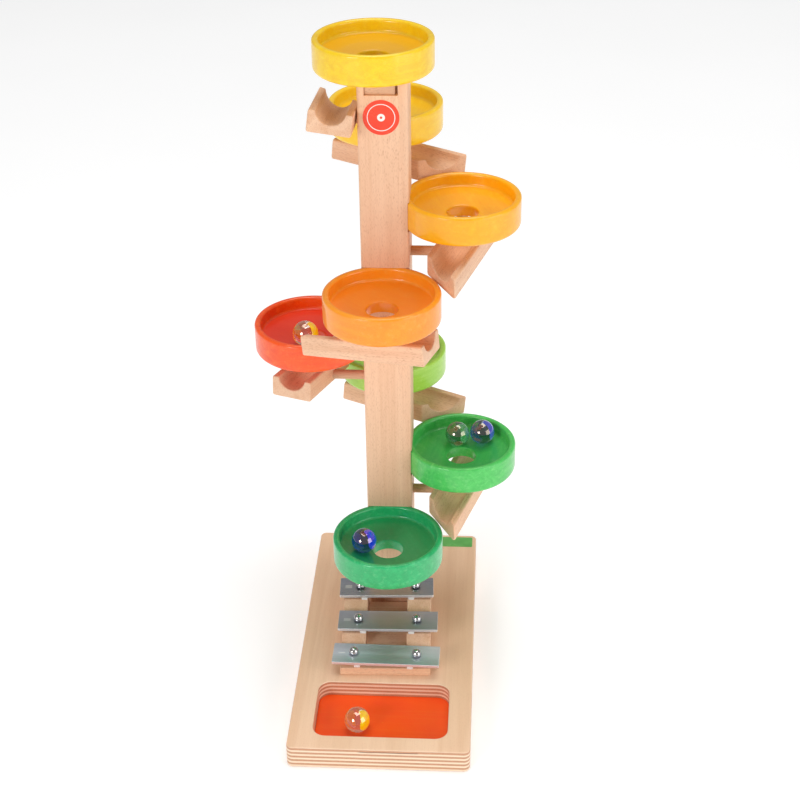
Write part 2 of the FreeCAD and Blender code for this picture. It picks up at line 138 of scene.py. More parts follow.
# ---- node material helper ---------------------------------------------------------------
class Shader:
    """A small builder for procedural materials."""

    def __init__(self, name):
        self.mat = bpy.data.materials.new(name)
        self.mat.use_nodes = True
        self.tree = self.mat.node_tree
        self.bsdf = self.tree.nodes["Principled BSDF"]
        self.coords = self.tree.nodes.new("ShaderNodeTexCoord")

    def node(self, kind, **settings):
        made = self.tree.nodes.new(kind)
        for key, value in settings.items():
            setattr(made, key, value)
        return made

    def link(self, out, into):
        self.tree.links.new(out, into)

    def feed(self, socket, value):
        if isinstance(value, bpy.types.NodeSocket):
            self.link(value, socket)
        else:
            socket.default_value = value

    def space(self, scale, shift=(0, 0, 0)):
        m = self.node("ShaderNodeMapping")
        self.link(self.coords.outputs["Object"], m.inputs["Vector"])
        m.inputs["Scale"].default_value = scale
        m.inputs["Location"].default_value = shift
        return m.outputs["Vector"]

    def noise(self, vector, scale=1.0, detail=3.0, rough=0.55, warp=0.0):
        n = self.node("ShaderNodeTexNoise")
        self.link(vector, n.inputs["Vector"])
        n.inputs["Scale"].default_value = scale
        n.inputs["Detail"].default_value = detail
        n.inputs["Roughness"].default_value = rough
        n.inputs["Distortion"].default_value = warp
        return n.outputs["Fac"]

    def cells(self, vector, scale=1.0):
        n = self.node("ShaderNodeTexVoronoi")
        self.link(vector, n.inputs["Vector"])
        n.inputs["Scale"].default_value = scale
        return n.outputs["Distance"]

    def remap(self, value, a, b, low=0.0, high=1.0):
        n = self.node("ShaderNodeMapRange")
        self.feed(n.inputs["Value"], value)
        n.inputs["From Min"].default_value = a
        n.inputs["From Max"].default_value = b
        n.inputs["To Min"].default_value = low
        n.inputs["To Max"].default_value = high
        return n.outputs["Result"]

    def math(self, op, a, b=0.0):
        n = self.node("ShaderNodeMath", operation=op)
        self.feed(n.inputs[0], a)
        self.feed(n.inputs[1], b)
        return n.outputs[0]

    def mix(self, fac, a, b):
        n = self.node("ShaderNodeMix", data_type="RGBA")
        self.feed(n.inputs["Factor"], fac)
        self.feed(n.inputs["A"], a)
        self.feed(n.inputs["B"], b)
        return n.outputs["Result"]

    def parts(self, vector):
        n = self.node("ShaderNodeSeparateXYZ")
        self.link(vector, n.inputs[0])
        return n.outputs

    def bump(self, height, strength, distance):
        n = self.node("ShaderNodeBump")
        n.inputs["Strength"].default_value = strength
        n.inputs["Distance"].default_value = distance
        self.link(height, n.inputs["Height"])
        return n.outputs["Normal"]

    def edge(self, low=0.52, high=0.58):
        """1 on convex edges, 0 elsewhere; the materials use it to paint a highlight along the edges."""
        g = self.node("ShaderNodeNewGeometry")
        return self.remap(g.outputs["Pointiness"], low, high)

    def finish(self, colour, rough, normal=None, **constants):
        self.feed(self.bsdf.inputs["Base Color"], colour)
        self.feed(self.bsdf.inputs["Roughness"], rough)
        if normal is not None:
            self.link(normal, self.bsdf.inputs["Normal"])
        for key, value in constants.items():
            self.bsdf.inputs[key.replace("_", " ")].default_value = value
        return self.mat


def srgb(r, g, b):
    def lin(c):
        c /= 255.0
        return c / 12.92 if c <= 0.04045 else ((c + 0.055) / 1.055) ** 2.4
    return (lin(r), lin(g), lin(b), 1.0)


def along(axis, length, across):
    """Mapping scale for features of the given length and width, in millimetres."""
    scale = [1000.0 / across] * 3
    scale["XYZ".index(axis)] = 1000.0 / length
    return tuple(scale)


def beech(name, axis, shift=(0, 0, 0), tone=1.0):
    """Oiled beech: soft growth bands, short dark ray flecks, fine pores, and convex edges lightened as a
    painted highlight.
    """
    s = Shader(name)
    light = srgb(243 * tone, 201 * tone, 167 * tone)
    mid = srgb(232 * tone, 184 * tone, 147 * tone)
    deep = srgb(206 * tone, 148 * tone, 108 * tone)
    fleck_tone = srgb(176 * tone, 110 * tone, 74 * tone)
    bands = s.noise(s.space(along(axis, 260, 7), shift=shift), 1.0, 3.0, 0.5, 0.6)
    streaks = s.noise(s.space(along(axis, 38, 0.9), shift=shift), 1.0, 4.0, 0.6)
    cloud = s.noise(s.space((28, 28, 28), shift=shift), 1.0, 2.0)
    colour = s.mix(s.remap(bands, 0.36, 0.66), light, mid)
    colour = s.mix(s.remap(streaks, 0.5, 0.78, 0.0, 0.5), colour, deep)
    colour = s.mix(s.remap(cloud, 0.45, 0.75, 0.0, 0.28), colour, mid)
    dashes = s.cells(s.space(along(axis, 2.6, 0.42), shift=shift), 1.0)
    gate = s.noise(s.space(along(axis, 10, 2), shift=shift), 1.0, 2.0)
    fleck = s.remap(dashes, 0.42, 0.16)
    fleck = s.math("MULTIPLY", fleck, s.remap(gate, 0.34, 0.58, 0.15, 1.0))
    colour = s.mix(s.math("MULTIPLY", fleck, 0.55), colour, fleck_tone)
    # painted highlight: convex edges are lightened toward the light tone
    colour = s.mix(s.math("MULTIPLY", s.edge(), 0.35), colour, light)
    fibre = s.noise(s.space(along(axis, 22, 0.28), shift=shift), 1.0, 3.0)
    height = s.math("SUBTRACT", s.math("MULTIPLY", fibre, 0.5), s.math("MULTIPLY", fleck, 0.7))
    normal = s.bump(height, 0.35, 0.00012)
    rough = s.remap(streaks, 0.3, 0.8, 0.46, 0.62)
    s.finish(colour, rough, normal, Specular_IOR_Level=0.42, Coat_Weight=0.08, Coat_Roughness=0.35)
    return s.mat


def plywood(name):
    """Birch plywood: one face veneer on top, stacked plies and glue lines on every cut edge.

    A core void shows as a dark line in the front edge."""
    s = Shader(name)
    ply_pair = 0.00292
    face_light = srgb(248, 211, 177)
    face_deep = srgb(238, 198, 162)
    bands = s.noise(s.space(along("Y", 320, 11)), 1.0, 3.0, 0.5, 1.2)
    streaks = s.noise(s.space(along("Y", 26, 0.7)), 1.0, 4.0, 0.6)
    face = s.mix(s.remap(bands, 0.35, 0.68), face_light, face_deep)
    face = s.mix(s.remap(streaks, 0.52, 0.8, 0.0, 0.3), face, srgb(222, 176, 138))
    pores = s.remap(s.cells(s.space(along("Y", 2.6, 0.5)), 1.0), 0.26, 0.12)
    face = s.mix(s.math("MULTIPLY", pores, 0.25), face, srgb(196, 146, 110))
    x, y, z = s.parts(s.coords.outputs["Object"])
    sway = s.noise(s.space((60, 60, 20)), 1.0, 2.0)
    height = s.math("ADD", z, s.math("MULTIPLY", sway, 0.00035))
    step = s.math("DIVIDE", height, ply_pair)
    saw = s.math("FRACT", s.math("ADD", step, 0.02))
    dip = s.math("ABSOLUTE", s.math("SUBTRACT", saw, 0.5))
    glue = s.remap(s.math("ABSOLUTE", s.math("SUBTRACT", dip, 0.26)), 0.035, 0.012)
    end_grain = s.noise(s.space((2600, 2600, 420)), 1.0, 3.0, 0.7)
    long_grain = s.noise(s.space((45, 45, 1500)), 1.0, 3.0)
    pale = s.mix(s.remap(long_grain, 0.3, 0.7), srgb(252, 230, 202), srgb(244, 216, 184))
    dark = s.mix(s.remap(end_grain, 0.3, 0.75), srgb(216, 162, 128), srgb(192, 134, 98))
    ply = s.mix(s.remap(dip, 0.23, 0.29), pale, dark)
    ply = s.mix(s.math("MULTIPLY", glue, 0.5), ply, srgb(160, 104, 70))
    void_x, void_z = 0.0065, 0.0137
    wavy = s.math("ADD", z, s.remap(s.noise(s.space((90, 90, 90)), 1.0, 2.0), 0.2, 0.8, -0.0003, 0.0003))
    gap = s.remap(s.math("ABSOLUTE", s.math("SUBTRACT", wavy, void_z)), 0.00042, 0.00024)
    gap = s.math("MULTIPLY", gap, s.remap(s.math("ABSOLUTE", s.math("SUBTRACT", x, void_x)), 0.019, 0.017))
    gap = s.math("MULTIPLY", gap, s.remap(y, -0.1108, -0.1114))
    ply = s.mix(s.math("MULTIPLY", gap, 0.75), ply, srgb(96, 52, 34))
    _, _, up = s.parts(s.coords.outputs["Normal"])
    flat = s.remap(s.math("ABSOLUTE", up), 0.72, 0.86)
    colour = s.mix(flat, ply, face)
    # painted highlight: convex edges are lightened toward the pale face tone
    colour = s.mix(s.math("MULTIPLY", s.edge(), 0.3), colour, face_light)
    relief = s.mix(flat, s.math("SUBTRACT", end_grain, s.math("MULTIPLY", glue, 0.9)), streaks)
    normal = s.bump(relief, 0.3, 0.00012)
    rough = s.remap(streaks, 0.3, 0.8, 0.42, 0.56)
    s.finish(colour, rough, normal, Specular_IOR_Level=0.4, Coat_Weight=0.12, Coat_Roughness=0.3)
    return s.mat


def stained(name, main, deep, pale, shift, painted_floor_shade):
    """Stained turned wood under satin lacquer: grain stays visible through the colour.

    The last argument sets how strongly the bowl's floor is painted toward the deep stain, a painted shade
    for the hollow."""
    s = Shader(name)
    bands = s.noise(s.space(along("X", 190, 4.5), shift=shift), 1.0, 3.0, 0.5, 0.9)
    streaks = s.noise(s.space(along("X", 13, 0.4), shift=shift), 1.0, 4.0, 0.65)
    mottle = s.noise(s.space((260, 260, 330), shift=shift), 1.0, 4.0, 0.65)
    colour = s.mix(s.remap(bands, 0.34, 0.68, 0.0, 0.4), main, deep)
    colour = s.mix(s.remap(streaks, 0.48, 0.72, 0.0, 0.5), colour, deep)
    colour = s.mix(s.remap(mottle, 0.52, 0.78, 0.0, 0.4), colour, pale)
    dashes = s.cells(s.space(along("X", 2.2, 0.4), shift=shift), 1.0)
    pore = s.remap(dashes, 0.28, 0.12)
    colour = s.mix(s.math("MULTIPLY", pore, 0.35), colour, deep)
    specks = s.cells(s.space(along("X", 1.7, 0.5), shift=(shift[1], shift[0], 0.3)), 1.0)
    fleck = s.remap(specks, 0.24, 0.1)
    colour = s.mix(s.math("MULTIPLY", fleck, 0.3), colour, pale)
    _, _, z = s.parts(s.coords.outputs["Object"])
    _, _, up = s.parts(s.coords.outputs["Normal"])
    # painted shade: the low, upward-facing floor of the bowl is darkened toward the deep stain
    floor = s.math("MULTIPLY", s.remap(z, -0.0055, -0.0085), s.remap(up, 0.4, 0.9))
    colour = s.mix(s.math("MULTIPLY", floor, painted_floor_shade), colour, deep)
    # painted highlight: convex edges, the rims most of all, are lightened toward the pale tone
    colour = s.mix(s.math("MULTIPLY", s.edge(0.53, 0.6), 0.4), colour, pale)
    height = s.math("SUBTRACT", s.math("MULTIPLY", streaks, 0.6), s.math("MULTIPLY", pore, 0.5))
    normal = s.bump(height, 0.28, 0.00012)
    rough = s.remap(mottle, 0.3, 0.7, 0.32, 0.44)
    s.finish(colour, rough, normal, Specular_IOR_Level=0.35, Coat_Weight=0.6, Coat_Roughness=0.1)
    return s.mat


def brushed(name, shift, length, strokes, tone):
    """Aluminium bar: brushed along its length, painted darker toward the middle as a painted reflection, and
    with near-white sides as a painted highlight.

    Its left end carries a number of short engraved strokes. tone sets how bright the metal is painted on
    each plate, a painted difference in the light each plate reflects."""
    s = Shader(name)
    brush_dark = srgb(180 * tone, 186 * tone, 196 * tone)
    brush_light = srgb(200 * tone, 204 * tone, 214 * tone)
    stroke_from_end = 5.6
    stroke_pitch = 1.2
    lines = s.noise(s.space(along("X", 30, 0.12), shift=shift), 1.0, 4.0, 0.65)
    smudge = s.noise(s.space((55, 90, 60), shift=shift), 1.0, 3.0, 0.55)
    colour = s.mix(s.remap(lines, 0.3, 0.7), brush_dark, brush_light)
    colour = s.mix(s.remap(smudge, 0.45, 0.75, 0.0, 0.25), colour, srgb(168 * tone, 174 * tone, 184 * tone))
    x, y, _ = s.parts(s.coords.outputs["Object"])
    # painted reflection: the bar is painted darker toward its middle and brighter toward its ends
    painted_dark_middle = s.remap(s.math("ABSOLUTE", x), 0.024, 0.006)
    colour = s.mix(s.math("MULTIPLY", painted_dark_middle, 0.4), colour, srgb(150 * tone, 158 * tone, 168 * tone))
    scratch = s.remap(s.cells(s.space(along("X", 7, 1.3), shift=shift), 1.0), 0.06, 0.03)
    colour = s.mix(s.math("MULTIPLY", scratch, 0.15), colour, srgb(222, 224, 224))
    left = s.math("ABSOLUTE", s.math("SUBTRACT", x, (stroke_from_end - length / 2) * MM))
    within = s.remap(left, 0.0023, 0.0021)
    engraved = 0.0
    for k in range(strokes):
        place = (k - (strokes - 1) / 2) * stroke_pitch * MM
        off = s.math("ABSOLUTE", s.math("SUBTRACT", y, place))
        engraved = s.math("MAXIMUM", s.remap(off, 0.00028, 0.00018), engraved)
    engraved = s.math("MULTIPLY", engraved, within)
    colour = s.mix(engraved, colour, srgb(252, 252, 252))
    # painted highlight: the upright sides of the bar are painted near white
    _, _, up = s.parts(s.coords.outputs["Normal"])
    side = s.remap(s.math("ABSOLUTE", up), 0.8, 0.5)
    colour = s.mix(side, colour, srgb(246, 246, 248))
    height = s.math("SUBTRACT", lines, s.math("MULTIPLY", engraved, 3.0))
    normal = s.bump(height, 0.2, 0.00005)
    rough = s.math("ADD", s.remap(lines, 0.3, 0.7, 0.24, 0.34), s.remap(smudge, 0.4, 0.8, 0.0, 0.08))
    rough = s.math("ADD", rough, s.math("MULTIPLY", side, 0.3))
    rough = s.math("ADD", rough, s.math("MULTIPLY", engraved, 0.35))
    rough = s.math("ADD", rough, (tone - 1.0) * 0.8)
    s.finish(colour, rough, normal, Metallic=1.0, Anisotropic=0.5)
    return s.mat


def polished(name):
    """Nickel-plated pin heads: near mirror with faint polishing swirls."""
    s = Shader(name)
    swirl = s.noise(s.space((900, 900, 900)), 1.0, 4.0, 0.6, 2.0)
    film = s.noise(s.space((260, 260, 260)), 1.0, 2.0)
    colour = s.mix(s.remap(film, 0.4, 0.7), srgb(206, 204, 202), srgb(184, 180, 178))
    normal = s.bump(swirl, 0.08, 0.00004)
    s.finish(colour, s.remap(swirl, 0.3, 0.7, 0.07, 0.16), normal, Metallic=1.0)
    return s.mat


def felt(name):
    """Pressed white felt: matted fibres and a soft edge."""
    s = Shader(name)
    fibres = s.noise(s.space((1500, 1500, 2600)), 1.0, 5.0, 0.7, 3.0)
    clump = s.noise(s.space((420, 420, 420)), 1.0, 3.0)
    colour = s.mix(s.remap(fibres, 0.35, 0.7), srgb(232, 229, 224), srgb(252, 251, 248))
    colour = s.mix(s.remap(clump, 0.5, 0.8, 0.0, 0.3), colour, srgb(214, 208, 200))
    normal = s.bump(fibres, 0.7, 0.00025)
    s.finish(colour, s.remap(fibres, 0.3, 0.7, 0.82, 0.96), normal, Sheen_Weight=0.5)
    return s.mat


def painted(name, main, deep, pale):
    """Brushed-on satin paint over veneer: faint grain and brush marks, paler at scuffs."""
    s = Shader(name)
    grain = s.noise(s.space(along("X", 60, 1.6)), 1.0, 4.0, 0.6, 0.5)
    cloud = s.noise(s.space((42, 60, 42)), 1.0, 3.0)
    colour = s.mix(s.remap(cloud, 0.35, 0.7, 0.0, 0.6), main, deep)
    colour = s.mix(s.remap(grain, 0.52, 0.8, 0.0, 0.35), colour, pale)
    scuff = s.remap(s.cells(s.space((150, 90, 90)), 1.0), 0.08, 0.03)
    colour = s.mix(s.math("MULTIPLY", scuff, 0.3), colour, pale)
    normal = s.bump(grain, 0.2, 0.0001)
    s.finish(colour, s.remap(cloud, 0.3, 0.7, 0.3, 0.42), normal, Coat_Weight=0.15, Coat_Roughness=0.25)
    return s.mat


def vinyl(name, main, deep, mark, ring):
    """Printed vinyl skin; ring gives the radius and half width of a plain printed ring."""
    s = Shader(name)
    grain = s.noise(s.space((700, 700, 700)), 1.0, 3.0)
    cloud = s.noise(s.space((90, 90, 90)), 1.0, 2.0)
    colour = s.mix(s.remap(cloud, 0.4, 0.7), main, deep)
    if ring:
        x, y, z = s.parts(s.coords.outputs["Object"])
        radial = s.math("SQRT", s.math("ADD", s.math("POWER", x, 2.0), s.math("POWER", z, 2.0)))
        for radius, half in ring:
            off = s.math("ABSOLUTE", s.math("SUBTRACT", radial, radius * MM))
            colour = s.mix(s.remap(off, (half + 0.08) * MM, (half - 0.08) * MM), colour, mark)
    normal = s.bump(grain, 0.15, 0.00004)
    s.finish(colour, s.remap(cloud, 0.3, 0.7, 0.24, 0.36), normal, Coat_Weight=0.3, Coat_Roughness=0.15)
    return s.mat


def glass(name, tint, deep):
    """Marble glass: nearly clear with a faint streaky tint and a few tiny surface nicks."""
    s = Shader(name)
    wisps = s.noise(s.space((90, 90, 240)), 1.0, 3.0, 0.5, 1.5)
    nicks = s.remap(s.cells(s.space((900, 900, 900)), 1.0), 0.09, 0.03)
    colour = s.mix(s.remap(wisps, 0.4, 0.72), tint, deep)
    normal = s.bump(nicks, 0.12, 0.00005)
    rough = s.remap(nicks, 0.0, 1.0, 0.012, 0.12)
    s.finish(colour, rough, normal, Transmission_Weight=1.0, IOR=1.52, Thin_Film_Thickness=290.0,
             Thin_Film_IOR=1.66, Coat_Weight=1.0, Coat_Roughness=0.02, Coat_IOR=1.9)
    return s.mat


def painted_light_glass(name, a, b):
    """Coloured, self-lit sheet inside a marble: painted light in place of the light a glass ball gathers."""
    s = Shader(name)
    wisps = s.noise(s.space((300, 300, 500)), 1.0, 4.0, 0.6, 2.0)
    colour = s.mix(s.remap(wisps, 0.35, 0.65), a, b)
    normal = s.bump(wisps, 0.2, 0.0001)
    s.feed(s.bsdf.inputs["Emission Color"], colour)
    s.finish(colour, s.remap(wisps, 0.3, 0.7, 0.2, 0.4), normal, Specular_IOR_Level=0.4,
             Emission_Strength=0.6)
    return s.mat


# ---- mesh helpers -----------------------------------------------------------------------
def make_object(name, verts, faces, mat, matrix=None, sharp=35.0, weighted=True):
    """Verts in millimetres in the object's own frame."""
    mesh = bpy.data.meshes.new(name)
    mesh.from_pydata([tuple(Vector(v) * MM) for v in verts], [], faces)
    mesh.validate()
    bm = bmesh.new()
    bm.from_mesh(mesh)
    bmesh.ops.remove_doubles(bm, verts=bm.verts, dist=1e-7)
    bmesh.ops.recalc_face_normals(bm, faces=bm.faces)
    bm.to_mesh(mesh)
    bm.free()
    mesh.shade_smooth()
    mesh.set_sharp_from_angle(angle=math.radians(sharp))
    mesh.materials.append(mat)
    obj = bpy.data.objects.new(name, mesh)
    bpy.context.scene.collection.objects.link(obj)
    if matrix is not None:
        m = matrix.copy()
        m.translation = m.translation * MM
        obj.matrix_world = m
    if weighted:
        mod = obj.modifiers.new("even_normals", "WEIGHTED_NORMAL")
        mod.keep_sharp = True
        mod.weight = 80
    return obj


def put(obj, body, slot, *nodes):
    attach(obj, body)
    if nodes:
        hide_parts(*nodes)
    return obj


def fillet_path(points, radii, steps=5):
    """Closed 2D outline with rounded corners, same point count for the same inputs."""
    out = []
    count = len(points)
    for i, (p, r) in enumerate(zip(points, radii)):
        p = Vector(p)
        if r <= 0:
            out.append(p)
            continue
        a = (Vector(points[i - 1]) - p)
        b = (Vector(points[(i + 1) % count]) - p)
        a.normalize()
        b.normalize()
        half = math.acos(max(-1, min(1, a.dot(b)))) / 2
        reach = r / math.tan(half)
        centre = p + (a + b).normalized() * (r / math.sin(half))
        start = p + a * reach - centre
        end = p + b * reach - centre
        sweep = math.atan2(start.x * end.y - start.y * end.x, start.dot(end))
        for k in range(steps + 1):
            t = sweep * k / steps
            c, s = math.cos(t), math.sin(t)
            out.append(centre + Vector((c * start.x - s * start.y, s * start.x + c * start.y)))
    return out


def lathe(outline, segments, axis_closed=False):
    """Turns a closed (r, z) outline about Z."""
    verts = []
    faces = []
    count = len(outline)
    for k in range(segments):
        t = 2 * math.pi * k / segments
        for r, z in outline:
            verts.append((r * math.cos(t), r * math.sin(t), z))
    for k in range(segments):
        a = k * count
        b = (k + 1) % segments * count
        last = count - 1 if axis_closed else count
        for i in range(last):
            j = (i + 1) % count
            faces.append((a + i, b + i, b + j, a + j))
    return verts, faces


def loft(rings):
    """Joins rings of equal point count and closes both ends."""
    verts = [v for ring in rings for v in ring]
    count = len(rings[0])
    faces = []
    for k in range(len(rings) - 1):
        for i in range(count):
            j = (i + 1) % count
            a = k * count
            b = (k + 1) * count
            faces.append((a + i, a + j, b + j, b + i))
    faces.append(tuple(range(count)))
    faces.append(tuple(reversed(range((len(rings) - 1) * count, len(rings) * count))))
    return verts, faces


def rounded_rect(cx, cy, hx, hy, r, steps=8):
    corners = [(cx - hx, cy - hy), (cx + hx, cy - hy), (cx + hx, cy + hy), (cx - hx, cy + hy)]
    return fillet_path(corners, [r] * 4, steps)


def soft_edge(radius, steps=4):
    """(inset, rise) pairs of a quarter round from the face to the side."""
    out = []
    for k in range(steps + 1):
        t = math.pi / 2 * k / steps
        out.append((radius * (1 - math.sin(t)), radius * (1 - math.cos(t))))
    return out


def board(name, x0, x1, y0, y1, z0, z1, corner, edge, mat, steps=5, matrix=None):
    """Board with rounded upright corners and rounded top and bottom edges."""
    cx, cy = (x0 + x1) / 2, (y0 + y1) / 2
    hx, hy = (x1 - x0) / 2, (y1 - y0) / 2
    rings = []
    for inset, rise in soft_edge(edge):
        ring = rounded_rect(cx, cy, hx - inset, hy - inset, max(corner - inset, 0.05), steps)
        rings.append([(p.x, p.y, z0 + rise) for p in ring])
    for inset, rise in reversed(soft_edge(edge)):
        ring = rounded_rect(cx, cy, hx - inset, hy - inset, max(corner - inset, 0.05), steps)
        rings.append([(p.x, p.y, z1 - rise) for p in ring])
    verts, faces = loft(rings)
    return make_object(name, verts, faces, mat, matrix)


# ---- base board and tray ----------------------------------------------------------------
PLY = plywood("birch_plywood")


def base_board():
    """Plywood board, with the tray's opening as an inner wall down to its orange panel."""
    rings = []
    half_x, half_y = BASE_HALF
    for inset, rise in soft_edge(BASE_EDGE):
        ring = rounded_rect(0, 0, half_x - inset, half_y - inset, BASE_CORNER - inset)
        rings.append([(p.x, p.y, rise) for p in ring])
    for inset, rise in reversed(soft_edge(BASE_EDGE)):
        ring = rounded_rect(0, 0, half_x - inset, half_y - inset, BASE_CORNER - inset)
        rings.append([(p.x, p.y, BASE_THICK - rise) for p in ring])
    cx, cy, hx, hy = TRAY
    for grow, rise in soft_edge(TRAY_LIP):
        ring = rounded_rect(cx, cy, hx + grow, hy + grow, TRAY_CORNER + grow)
        rings.append([(p.x, p.y, BASE_THICK - rise) for p in ring])
    for z in (12.0, 8.0, TRAY_FLOOR - TRAY_PANEL + 0.05):
        ring = rounded_rect(cx, cy, hx, hy, TRAY_CORNER)
        rings.append([(p.x, p.y, z) for p in ring])
    verts, faces = loft(rings)
    return make_object("base_board_ply", verts, faces, PLY)


put(base_board(), "frame", "birch_plywood", "base_board")

ORANGE = painted("orange_panel_paint", srgb(255, 86, 6), srgb(252, 72, 2), srgb(255, 122, 36))
cx, cy, hx, hy = TRAY
panel = board("tray_panel", cx - hx + 0.05, cx + hx - 0.05, cy - hy + 0.05, cy + hy - 0.05,
              TRAY_FLOOR - TRAY_PANEL + 0.1, TRAY_FLOOR, 7.95, 0.25, ORANGE, 8)
put(panel, "frame", "orange_panel", "tray_floor")


# ---- bowls ------------------------------------------------------------------------------
# number: main stain, deep stain, pale flecks, strength of the painted shade on the floor
BOWL_COLOURS = {
    1: ((255, 216, 14), (236, 172, 4), (255, 236, 84), 0.9),
    2: ((255, 214, 30), (242, 182, 10), (255, 234, 90), 0.3),
    3: ((255, 184, 4), (244, 154, 2), (255, 208, 60), 0.1),
    4: ((255, 160, 26), (250, 128, 10), (255, 186, 84), 0.5),
    5: ((255, 96, 14), (232, 40, 4), (255, 138, 66), 0.8),
    6: ((178, 226, 84), (140, 204, 44), (212, 242, 136), 0.2),
    7: ((86, 210, 98), (34, 172, 70), (150, 234, 148), 0.5),
    8: ((44, 194, 116), (12, 148, 84), (120, 222, 156), 0.6),
}


def bowl_outline():
    inner = BOWL_RADIUS - BOWL_WALL
    corners = [
        (BOWL_HOLE, -BOWL_HEIGHT), (BOWL_RADIUS, -BOWL_HEIGHT), (BOWL_RADIUS, 0),
        (inner, 0), (inner, -FLOOR_OUTER), (BOWL_HOLE, -FLOOR_INNER),
    ]
    rounded = fillet_path(corners, [0.8, 2.6, 1.7, 1.7, 2.0, 1.0], 7)
    dense = []
    for i, p in enumerate(rounded):
        q = rounded[(i + 1) % len(rounded)]
        pieces = max(1, int((q - p).length / 2.5))
        for k in range(pieces):
            dense.append(p.lerp(q, k / pieces))
    return [(p.x, p.y) for p in dense]


def bowl(number):
    """Turned bowl with a hint of hand-turned unevenness, always inside the true outline."""
    outline = bowl_outline()
    verts, faces = lathe(outline, 160)
    seed = Vector((number * 7.3, 0, 0))
    moved = []
    for x, y, z in verts:
        wobble = 0.06 * (noise.noise(Vector((x, y, z)) * 0.09 + seed) - 0.5)
        r = math.hypot(x, y)
        k = 1 - (0.03 - wobble) / r if r > 20 else 1
        moved.append((x * k, y * k, z))
    main, deep, pale = (srgb(*c) for c in BOWL_COLOURS[number][:3])
    shift = (number * 0.37, number * 0.11, 0)
    mat = stained("bowl_%d_stain" % number, main, deep, pale, shift, BOWL_COLOURS[number][3])
    turn = Matrix.Rotation(math.radians(37 * number), 4, "Z")
    matrix = Matrix.Translation(BOWL_PLACE[number]) @ turn
    obj = make_object("turned_bowl_%d" % number, moved, faces, mat, matrix, 50.0, False)
    return put(obj, "frame", "bowl_%d_colour" % number, "bowl_%d" % number)


for n in BOWL_PLACE:
    bowl(n)


# ---- channels ---------------------------------------------------------------------------
def channel_ring(inset):
    """Cross-section (y, z) of a channel, shrunk by inset all round."""
    half = CHANNEL_HALF - inset
    top = -inset
    bottom = -CHANNEL_HEIGHT + inset
    radius = GROOVE_RADIUS + inset
    lip = math.sqrt(radius ** 2 - (GROOVE_RISE - top) ** 2)
    start = math.asin((GROOVE_RISE - top) / radius)
    points = [(-half, bottom), (half, bottom), (half, top), (lip, top)]
    radii = [1.2, 1.2, 1.2, 0.9]
    arcs = 13
    for k in range(1, arcs):
        t = start + (math.pi - 2 * start) * k / arcs
        points.append((radius * math.cos(t), GROOVE_RISE - radius * math.sin(t)))
        radii.append(0)
    points += [(-lip, top), (-half, top)]
    radii += [0.9, 1.2]
    return fillet_path(points, radii, 4)


def channel(number, matrix, uphill, low_end):
    """Grooved block in its own frame: X downhill; low_end gives where a (y, z) line stops."""
    edge = 0.8
    rings = []
    for inset, rise in soft_edge(edge):
        rings.append([(-uphill + rise, p.x, p.y) for p in channel_ring(inset)])
    outline = channel_ring(0)
    for k in range(1, 12):
        t = k / 12
        ring = []
        for p in outline:
            a = -uphill + edge
            b = low_end(p) - edge
            ring.append((a + (b - a) * t, p.x, p.y))
        rings.append(ring)
    for inset, rise in reversed(soft_edge(edge)):
        rings.append([(low_end(p) - rise, p.x, p.y) for p in channel_ring(inset)])
    verts, faces = loft(rings)
    wood = beech("beech_channel_%d" % number, "X", (number * 0.173, number * 0.31, number * 0.07),
                 (1.0, 1.0, 0.99, 1.01, 0.99, 1.0, 1.02)[number - 1])
    obj = make_object("grooved_channel_%d" % number, verts, faces, wood, matrix)
    return put(obj, "frame", "beech", "channel_%d" % number)


def turned(origin, heading, slope, roll=0.0):
    return (Matrix.Translation(Vector(origin)) @ Matrix.Rotation(math.radians(heading), 4, "Z")
            @ Matrix.Rotation(math.radians(slope), 4, "Y")
            @ Matrix.Rotation(math.radians(roll), 4, "X"))


def mitred_channel(number):
    """The low end stands clear of the next bowl's rim, on an upright plane; its tip is blunt."""
    place = BOWL_PLACE[number]
    origin = Vector((place.x, place.y, place.z - BOWL_HEIGHT - CHANNEL_DROP[number]))
    heading = TRAVEL[number] - CHANNEL_TURN
    matrix = turned(origin, heading, CHANNEL_SLOPE)
    face = math.radians(heading - MITRE)
    normal = Vector((math.cos(face), math.sin(face), 0))
    local = matrix.to_3x3().transposed() @ normal
    reach = normal.dot(BOWL_PLACE[number + 1]) - MITRE_REACH - normal.dot(origin)
    tip = max((reach - local.y * p.x - local.z * p.y) / local.x for p in channel_ring(0)) - TIP_BLUNT

    def low_end(p):
        return min(tip, (reach - local.y * p.x - local.z * p.y) / local.x)

    channel(number, matrix, CHANNEL_UPHILL, low_end)


SIDE_MATRIX = turned(SIDE_START, SIDE_HEADING, SIDE_SLOPE, SIDE_ROLL)
SIDE_CUT = math.tan(math.radians(SIDE_MITRE))
channel(1, SIDE_MATRIX, 0.0, lambda p: SIDE_LENGTH + SIDE_CUT * p.x)
for n in TRAVEL:
    mitred_channel(n)


# ---- pegs, post and its filler ----------------------------------------------------------
PEG_WOOD = beech("beech_pegs", "X", (3.1, 0.2, 0.9), 0.95)


def peg(name, point, direction, length):
    """Round dowel with softened ends and a faint fluted surface."""
    rings = []
    r = PEG_RADIUS
    stations = [(0, r - 0.5), (0.5, r)]
    stations += [(length * k / 8, r) for k in range(1, 8)]
    stations += [(length - 0.5, r), (length, r - 0.5)]
    for x, radius in stations:
        ring = []
        for k in range(40):
            t = 2 * math.pi * k / 40
            flat = 1 - 0.006 * (0.5 + 0.5 * math.cos(10 * t))
            ring.append((x, radius * flat * math.cos(t), radius * flat * math.sin(t)))
        rings.append(ring)
    verts, faces = loft(rings)
    frame_x = Vector(direction).normalized()
    angle = math.atan2(frame_x.y, frame_x.x)
    matrix = Matrix.Translation(Vector(point)) @ Matrix.Rotation(angle, 4, "Z")
    return make_object(name, verts, faces, PEG_WOOD, matrix)


